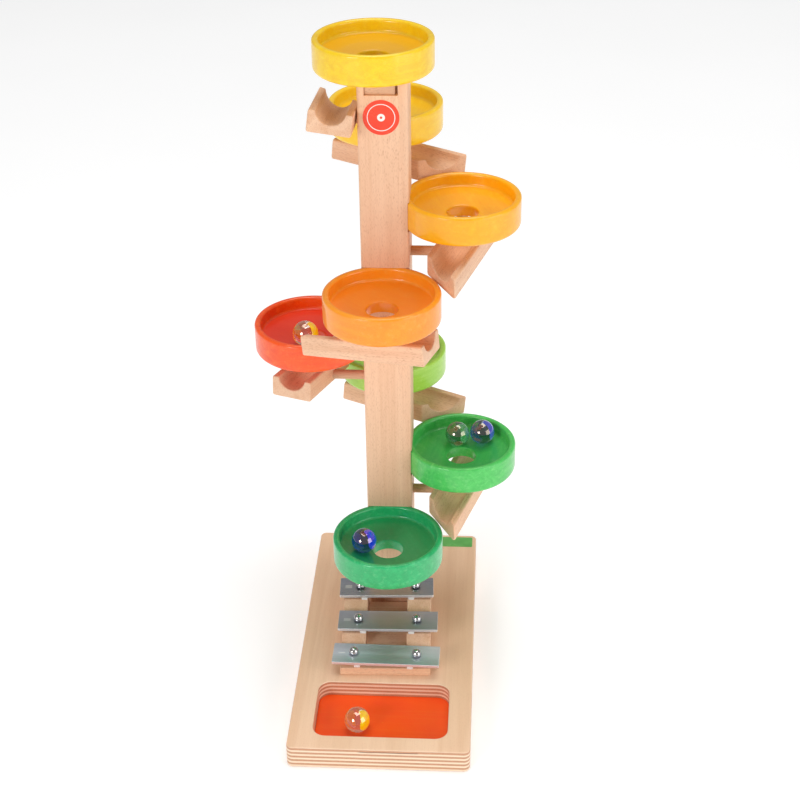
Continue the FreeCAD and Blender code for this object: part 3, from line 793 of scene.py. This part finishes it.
def peg_line(number):
    """Start point, direction and length of the peg from the post into a channel's side."""
    if number == 1:
        x, y, z = SIDE_START
        run = POST_Y - y
        roll = math.radians(SIDE_ROLL)
        reach = CHANNEL_HALF * math.cos(roll) - PEG_BELOW_TOP * math.sin(roll)
        fall = CHANNEL_HALF * math.sin(roll) + PEG_BELOW_TOP * math.cos(roll)
        side = -x - run * math.tan(math.radians(90 - SIDE_HEADING)) - reach
        height = z - run * math.tan(math.radians(SIDE_SLOPE)) - fall
        return (-PEG_START, POST_Y, height), (-1, 0, 0), side + PEG_IN_CHANNEL - PEG_START
    travel = math.radians(TRAVEL[number])
    tx, ty = round(math.cos(travel)), round(math.sin(travel))
    ox, oy = -ty, tx
    place = BOWL_PLACE[number]
    offset = tx * place.x + ty * (place.y - POST_Y)
    distance = ox * place.x + oy * (place.y - POST_Y)
    turn = math.radians(CHANNEL_TURN)
    run = (-offset + CHANNEL_HALF * math.sin(turn)) / math.cos(turn)
    side = distance - run * math.sin(turn) - CHANNEL_HALF * math.cos(turn)
    top = place.z - BOWL_HEIGHT - CHANNEL_DROP[number]
    z = top - run * math.tan(math.radians(CHANNEL_SLOPE)) - PEG_BELOW_TOP
    start = (ox * PEG_START, POST_Y + oy * PEG_START, z)
    return start, (ox, oy, 0), side + PEG_IN_CHANNEL - PEG_START


for n in range(1, 8):
    piece = peg("channel_peg_%d" % n, *peg_line(n))
    if n == 1:
        put(piece, "frame", "beech", "channel_pegs")
    else:
        put(piece, "frame", "beech")


def cutter(verts, faces):
    mesh = bpy.data.meshes.new("cutter")
    mesh.from_pydata([tuple(Vector(v) * MM) for v in verts], [], faces)
    obj = bpy.data.objects.new("cutter", mesh)
    bpy.context.scene.collection.objects.link(obj)
    return obj


def carve(obj, tools):
    """Cuts the tools out of obj and keeps the result as a plain mesh."""
    for tool in tools:
        bm = bmesh.new()
        bm.from_mesh(tool.data)
        bmesh.ops.recalc_face_normals(bm, faces=bm.faces)
        bm.to_mesh(tool.data)
        bm.free()
        mod = obj.modifiers.new("cut", "BOOLEAN")
        mod.operation = "DIFFERENCE"
        mod.solver = "EXACT"
        mod.object = tool
    bpy.context.view_layer.update()
    graph = bpy.context.evaluated_depsgraph_get()
    mesh = bpy.data.meshes.new_from_object(obj.evaluated_get(graph))
    obj.modifiers.clear()
    obj.data = mesh
    for tool in tools:
        bpy.data.objects.remove(tool)
    bm = bmesh.new()
    bm.from_mesh(mesh)
    bmesh.ops.remove_doubles(bm, verts=bm.verts, dist=2e-6)
    bm.to_mesh(mesh)
    bm.free()
    mesh.shade_smooth()
    mesh.set_sharp_from_angle(angle=math.radians(35))
    return obj


def prism(outline, a, b, axis="Z"):
    """Closed prism of a 2D outline; axis Y takes (x, z) outlines."""
    def point(p, h):
        return (p[0], p[1], h) if axis == "Z" else (p[0], h, p[1])
    return loft([[point(p, a) for p in outline], [point(p, b) for p in outline]])


def round_tool(centre, radius, z0, z1, count=160):
    ring = [(centre.x + radius * math.cos(2 * math.pi * k / count),
             centre.y + radius * math.sin(2 * math.pi * k / count)) for k in range(count)]
    return cutter(*prism(ring, z0, z1))


def post():
    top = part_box("post")[1].z / MM
    wood = beech("beech_post", "Z", (0.4, 0.9, 0.13), 1.0)
    rings = []
    for inset, rise in soft_edge(0.4):
        ring = rounded_rect(POST_X, POST_Y, POST_HALF - inset, POST_HALF - inset, 1.5 - inset, 5)
        rings.append([(p.x, p.y, BASE_THICK + rise) for p in ring])
    ring = rounded_rect(POST_X, POST_Y, POST_HALF, POST_HALF, 1.5, 5)
    rings.append([(p.x, p.y, top) for p in ring])
    verts, faces = loft(rings)
    obj = make_object("square_post", verts, faces, wood)
    obj.modifiers.clear()
    tools = []
    for number, place in BOWL_PLACE.items():
        if number > 1:
            foot = place.z - BOWL_HEIGHT - SEAT_GAP
            tools.append(round_tool(place, BOWL_RADIUS + SEAT_GAP, foot, place.z + SEAT_GAP))
    front = POST_Y - POST_HALF
    slot = [(-17, 370.4), (6, 372.6), (6, top + 2), (-17, top + 2)]
    tools.append(cutter(*prism(slot, POST_Y - SLOT_HALF, POST_Y + SLOT_HALF, "Y")))
    left, end, low = NOTCH
    notch = [(left, low), (end, low), (end, top + 2), (left, top + 2)]
    tools.append(cutter(*prism(notch, front - 1, POST_Y - SLOT_HALF, "Y")))
    carve(obj, tools)
    mod = obj.modifiers.new("even_normals", "WEIGHTED_NORMAL")
    mod.keep_sharp = True
    return put(obj, "frame", "beech", "post")


post()
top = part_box("slot_filler")[1].z / MM
filler = board("slot_filler_block", NOTCH[0] + 0.03, FILLER_END, *FILLER_DEPTH, NOTCH[2] + 0.03, top,
               0.4, 0.4, beech("beech_filler", "X", (1.4, 0.3, 2.2), 0.93))
put(filler, "frame", "beech", "slot_filler")


# ---- plate stand ------------------------------------------------------------------------
RAIL_WOOD = beech("beech_rails", "Y", (2.2, 1.3, 0.4), 0.97)
BOARD_WOOD = beech("beech_boards", "X", (0.8, 2.6, 1.7), 1.04)
STAND_PIVOT = Vector((STAND_X, PLATES[2][1], 0))
STAND = (Matrix.Translation(STAND_PIVOT) @ Matrix.Rotation(math.radians(STAND_TURN), 4, "Z")
         @ Matrix.Translation(-STAND_PIVOT))


def rail_outline():
    """Side view (y, z) of a rail: level crests joined by hollows."""
    half = PLATE_WIDTH / 2
    crest = {k: v[2] - CREST_BELOW_PLATE for k, v in PLATES.items()}
    y1, y2, y3 = (PLATES[k][1] for k in (1, 2, 3))
    points = [(RAIL_BACK, BASE_THICK), (RAIL_FRONT, BASE_THICK), (RAIL_FRONT, crest[3])]
    for (ya, za), (yb, zb) in (((y3 + half - 1, crest[3]), (y2 - half + 1, crest[2])),
                               ((y2 + half - 1, crest[2]), (y1 - half + 1, crest[1]))):
        for k in range(13):
            t = k / 12
            sag = RAIL_DIP * math.sin(math.pi * t)
            points.append((ya + (yb - ya) * t, za + (zb - za) * t - sag))
    points.append((RAIL_BACK, crest[1]))
    return points


def rail(name, x0, x1, node):
    outline = rail_outline()
    verts, faces = loft([[(x, y, z) for y, z in outline] for x in (x0, x1)])
    obj = make_object(name, verts, faces, RAIL_WOOD, STAND, sharp=30)
    obj.modifiers.clear()
    bevel = obj.modifiers.new("soft_edges", "BEVEL")
    bevel.width = 0.0006
    bevel.segments = 3
    bevel.limit_method = "ANGLE"
    bevel.angle_limit = math.radians(45)
    mod = obj.modifiers.new("even_normals", "WEIGHTED_NORMAL")
    mod.keep_sharp = True
    return put(obj, "frame", "beech", node)


rail("stand_rail_left", STAND_X - RAIL_OUTER, STAND_X - RAIL_INNER, "rail_left")
rail("stand_rail_right", STAND_X + RAIL_INNER, STAND_X + RAIL_OUTER, "rail_right")
cross = board("stand_cross_board", STAND_X - RAIL_OUTER, STAND_X + RAIL_OUTER, CROSS_BOARD[0],
              RAIL_FRONT - 0.05, BASE_THICK, CROSS_BOARD[1], 0.6, 0.7, BOARD_WOOD, matrix=STAND)
put(cross, "frame", "beech", "cross_board")
centre = board("stand_centre_board", STAND_X - RAIL_INNER + 0.05, STAND_X + RAIL_INNER - 0.05,
               RAIL_FRONT, RAIL_BACK - 2, BASE_THICK, CENTRE_BOARD_TOP, 0.4, 0.4, BOARD_WOOD,
               matrix=STAND)
put(centre, "frame", "beech", "centre_board")


# ---- sound plates, pins and felt --------------------------------------------------------
BODY_OF_PLATE = {1: "upper_plate", 2: "middle_plate", 3: "lower_plate"}
STEEL = polished("nickel_pins")
FELT = felt("white_felt")


def sound_plate(number):
    x, y, top, length, turn, _ = PLATES[number]
    matrix = Matrix.Translation((x, y, top)) @ Matrix.Rotation(math.radians(turn), 4, "Z")
    metal = brushed("brushed_plate_%d" % number, (number * 0.21, 0.4, 0.1), length, 4 - number,
                    PLATE_PAINTED_REFLECTION[number])
    half = PLATE_WIDTH / 2
    obj = board("sound_bar_%d" % number, -length / 2, length / 2, -half, half, -PLATE_THICK, 0.0,
                0.6, 0.22, metal, 3, matrix)
    return put(obj, BODY_OF_PLATE[number], "brushed_aluminium", "sound_plate_%d" % number)


def pin(name, x, y, top):
    """Turned pin: domed head with a small collar, shank down through the plate."""
    head = 3.1
    outline = [(0.0, 1.4 + head)]
    for k in range(1, 19):
        t = math.pi / 2 - (math.pi / 2 + math.asin(0.4 / head)) * k / 18
        outline.append((head * math.cos(t), 1.4 + head * math.sin(t)))
    outline += [(2.7, 0.98), (1.3, 0.98), (1.25, 0.6), (1.25, -10.8), (1.0, -11.0), (0.0, -11.0)]
    verts, faces = lathe(outline, 40, True)
    matrix = Matrix.Translation((x, y, top))
    return make_object(name, verts, faces, STEEL, matrix, 50)


for n, (x, y, top, length, turn, middle) in PLATES.items():
    sound_plate(n)
    slope = math.tan(math.radians(turn))
    offset = PIN_SPREAD * length
    for side, px in (("left", middle - offset), ("right", middle + offset)):
        piece = pin("plate_pin_%d_%s" % (n, side), px, y + (px - x) * slope, top)
        if n == 1 and side == "left":
            put(piece, "frame", "steel_pins", "plate_pins")
        else:
            put(piece, "frame", "steel_pins")


def pad(name, x0, x1, y0, y1, z0, z1):
    """Felt strip with pillowed, slightly ragged sides."""
    rings = []
    for k in range(9):
        t = k / 8
        z = z0 + (z1 - z0) * t
        swell = 0.12 * math.sin(math.pi * t)
        ring = []
        outline = rounded_rect((x0 + x1) / 2, (y0 + y1) / 2, (x1 - x0) / 2 - 0.12 + swell,
                               (y1 - y0) / 2 - 0.12 + swell, 0.5, 4)
        for i, p in enumerate(outline):
            q = outline[(i + 1) % len(outline)]
            cuts = max(1, int((q - p).length / 0.6))
            for c in range(cuts):
                m = p.lerp(q, c / cuts)
                rag = 0.07 * noise.noise(Vector((m.x * 2.1, m.y * 2.1, z * 2.3)))
                out = Vector((m.x - (x0 + x1) / 2, 0)).normalized() if abs(m.x) else Vector((0, 0))
                ring.append((m.x + out.x * rag, m.y, z))
        rings.append(ring)
    # a side may be cut once more at mid-height, so every ring keeps to the shortest one's count
    count = min(len(ring) for ring in rings)
    verts, faces = loft([ring[:count] for ring in rings])
    return make_object(name, verts, faces, FELT, None, 60, False)


for n, places in PADS.items():
    x, y, top, _, turn, _ = PLATES[n]
    slope = math.tan(math.radians(turn))
    reach = PLATE_WIDTH / 2 - PAD_INSET
    for k, px in enumerate(places):
        edge_y = y + (px - x) * slope
        y0 = edge_y - reach if k % 2 == 0 else edge_y + reach - PAD_SIZE[1]
        piece = pad("felt_pad_%d_%d" % (n, k), px - PAD_SIZE[0] / 2, px + PAD_SIZE[0] / 2, y0,
                    y0 + PAD_SIZE[1], top - PAD_BELOW_PLATE[0], top - PAD_BELOW_PLATE[1])
        if n == 1 and k == 0:
            put(piece, "frame", "white_felt", "plate_pads")
        else:
            put(piece, "frame", "white_felt")


# ---- sticker and label ------------------------------------------------------------------
def disc(name, radius, thick, mat, matrix):
    outline = [(0.0, 0.0), (radius, 0.0), (radius, thick * 0.6), (radius - 0.12, thick), (0.0, thick)]
    verts, faces = lathe(outline, 96, True)
    verts = [(x, -z, y) for x, y, z in verts]
    return make_object(name, verts, faces, mat, matrix, 50)


RED = vinyl("red_vinyl", srgb(246, 62, 8), srgb(238, 52, 4), srgb(255, 246, 240),
            [(1.5, 0.75), (7.9, 0.22)])
seal = disc("round_sticker", STICKER[2], SKIN, RED,
            Matrix.Translation((STICKER[0], POST_Y - POST_HALF, STICKER[1])))
put(seal, "frame", "red_sticker", "sticker")
GREEN = vinyl("green_vinyl", srgb(112, 190, 98), srgb(92, 172, 80), srgb(255, 255, 255), None)
strip = board("rear_strip", *LABEL, BASE_THICK, BASE_THICK + SKIN, 1.0, 0.05, GREEN)
put(strip, "frame", "green_label", "rear_label")


# ---- glass marbles ----------------------------------------------------------------------
def ball(name, centre, mat):
    bm = bmesh.new()
    bmesh.ops.create_icosphere(bm, subdivisions=5, radius=BALL_RADIUS * MM)
    mesh = bpy.data.meshes.new(name)
    bm.to_mesh(mesh)
    bm.free()
    mesh.shade_smooth()
    mesh.materials.append(mat)
    obj = bpy.data.objects.new(name, mesh)
    bpy.context.scene.collection.objects.link(obj)
    obj.location = Vector(centre)
    return obj


def painted_light_sheet(name, centre, radius, wide, high, lean, mat):
    """Curved self-lit sheet inside a marble, facing +X before it is leant over: painted light in place of
    the bright patch a glass ball gathers.
    """
    verts = []
    faces = []
    rows, cols = 24, 24
    for layer in (0, 1):
        for i in range(rows + 1):
            v = -1 + 2 * i / rows
            for j in range(cols + 1):
                u = -1 + 2 * j / cols
                edge = math.sqrt(max(0.0, 1 - v * v))
                a = wide * u * edge + 0.25 * math.sin(2.2 * v)
                b = high * v
                skin = 0.5 * math.sqrt(max(0.0, 1 - u * u)) * edge
                r = radius + (skin if layer else -skin) + 0.25 * math.sin(3 * u + 2 * v)
                verts.append((r * math.cos(a) * math.cos(b), r * math.sin(a) * math.cos(b), r * math.sin(b)))
    count = (rows + 1) * (cols + 1)
    for layer in (0, 1):
        for i in range(rows):
            for j in range(cols):
                a = layer * count + i * (cols + 1) + j
                faces.append((a, a + 1, a + cols + 2, a + cols + 1))
    turn = Matrix.Rotation(lean[0], 4, "Z") @ Matrix.Rotation(lean[1], 4, "Y")
    matrix = Matrix.Translation(Vector(centre) / MM) @ turn
    return make_object(name, verts, faces, mat, matrix, 80, False)


def centre_of(node):
    lo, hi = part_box(node)
    return (lo + hi) / 2


# self-lit sheets inside the marbles: coloured ones paint the bright patch of gathered light, white ones
# paint a reflection of the right softbox
YELLOW = painted_light_glass("yellow_painted_light", srgb(255, 220, 0), srgb(255, 176, 0))
WHITE = painted_light_glass("white_painted_reflection", srgb(250, 248, 240), srgb(222, 226, 226))
VIOLET = painted_light_glass("violet_leaf", srgb(136, 150, 255), srgb(90, 96, 240))
TEAL = painted_light_glass("teal_painted_light", srgb(60, 190, 60), srgb(150, 220, 190))
BLUE = painted_light_glass("blue_leaf", srgb(30, 50, 255), srgb(110, 100, 255))
CLEAR = glass("clear_glass", (0.9, 0.86, 0.8, 1), (0.8, 0.76, 0.74, 1))
GREENISH = glass("green_glass", (0.22, 0.32, 0.28, 1), (0.1, 0.17, 0.16, 1))
NIGHT = glass("violet_glass", (0.12, 0.14, 0.36, 1), (0.06, 0.07, 0.22, 1))
COBALT = glass("cobalt_glass", (0.07, 0.1, 0.5, 1), (0.03, 0.05, 0.3, 1))
# node: body, slot, glass, main painted light sheet, lean of the painted light sheets (about Z, then about Y)
MARBLES = {
    "marble_clear": ("tray_marble_body", "glass_clear", CLEAR, YELLOW, (-0.3, -0.25)),
    "marble_amber": ("amber_marble_body", "glass_amber", CLEAR, YELLOW, (0.1, -0.2)),
    "marble_green": ("green_marble_body", "glass_green", GREENISH, TEAL, (-0.3, -0.35)),
    "marble_violet": ("violet_marble_body", "glass_violet", NIGHT, VIOLET, (0.2, -0.3)),
    "marble_blue": ("blue_marble_body", "glass_blue", COBALT, BLUE, (-0.1, -0.4)),
}
for node, (body, slot_name, mat, colour, lean) in MARBLES.items():
    middle = centre_of(node)
    put(ball(node.replace("marble", "glass_ball"), middle, mat), body, slot_name, node)
    put(painted_light_sheet(node + "_leaf", middle, 5.4, 0.85, 1.15, lean, colour), body, slot_name)
    # a smaller white sheet turned further round: a painted reflection of the right softbox
    back = (lean[0] + 0.75, lean[1] - 0.3)
    put(painted_light_sheet(node + "_white", middle, 4.5, 0.3, 0.7, back, WHITE), body, slot_name)


# ---- floor, light and camera ------------------------------------------------------------
def studio():
    """Pale floor that is a little self-lit, and a plain white surround."""
    s = Shader("pale_floor")
    cloud = s.noise(s.space((3, 3, 3)), 1.0, 2.0)
    colour = s.mix(cloud, (0.93, 0.93, 0.93, 1), (0.95, 0.95, 0.95, 1))
    s.finish(colour, s.remap(cloud, 0.3, 0.7, 0.55, 0.65), Specular_IOR_Level=0.2,
             Emission_Strength=0.2)
    mesh = bpy.data.meshes.new("floor")
    mesh.from_pydata([(-7, -7, 0), (7, -7, 0), (7, 7, 0), (-7, 7, 0)], [], [(0, 1, 2, 3)])
    mesh.materials.append(s.mat)
    floor = bpy.data.objects.new("floor", mesh)
    bpy.context.scene.collection.objects.link(floor)
    world = bpy.data.worlds.new("studio")
    bpy.context.scene.world = world
    world.use_nodes = True
    world.node_tree.nodes["Background"].inputs["Color"].default_value = (1.0, 1.0, 1.0, 1)
    world.node_tree.nodes["Background"].inputs["Strength"].default_value = 0.3


def lamp(name, place, aim, size, power, shape="RECTANGLE"):
    data = bpy.data.lights.new(name, "AREA")
    data.shape = shape
    data.size = size[0]
    if shape == "RECTANGLE":
        data.size_y = size[1]
    data.energy = power
    obj = bpy.data.objects.new(name, data)
    bpy.context.scene.collection.objects.link(obj)
    obj.location = place
    obj.rotation_euler = (Vector(aim) - Vector(place)).to_track_quat("-Z", "Y").to_euler()


studio()
lamp("round_left", (-0.85, -1.24, 0.72), (0.0, 0.0, 0.16), (0.62, 0.62), 8.6, "DISK")
lamp("softbox_right", (1.36, -0.72, 0.58), (0.0, 0.0, 0.16), (1.1, 1.1), 9.4)
lamp("top_panel", (0.1, 0.5, 3.4), (0.0, 0.4, 0.0), (2.4, 2.4), 66.0)

# camera angles in radians, focal length in millimetres, place in metres
YAW, PITCH, ROLL = -0.0643, 0.5398, -0.0142
LENS = 72.2817
CAMERA_PLACE = (0.06313, -0.83331, 0.69593)
forward = Vector((math.sin(YAW) * math.cos(PITCH), math.cos(YAW) * math.cos(PITCH), -math.sin(PITCH)))
right = Vector((math.cos(YAW), -math.sin(YAW), 0.0))
upward = right.cross(forward)
right2 = math.cos(ROLL) * right + math.sin(ROLL) * upward
up2 = -math.sin(ROLL) * right + math.cos(ROLL) * upward
camera_data = bpy.data.cameras.new("camera")
camera_data.sensor_width = 36.0
camera_data.lens = LENS
camera_data.clip_end = 30.0
camera = bpy.data.objects.new("camera", camera_data)
bpy.context.scene.collection.objects.link(camera)
rotation = Matrix((right2, up2, -forward)).transposed().to_4x4()
camera.matrix_world = Matrix.Translation(CAMERA_PLACE) @ rotation
bpy.context.scene.camera = camera
bpy.context.scene.view_settings.view_transform = "Standard"
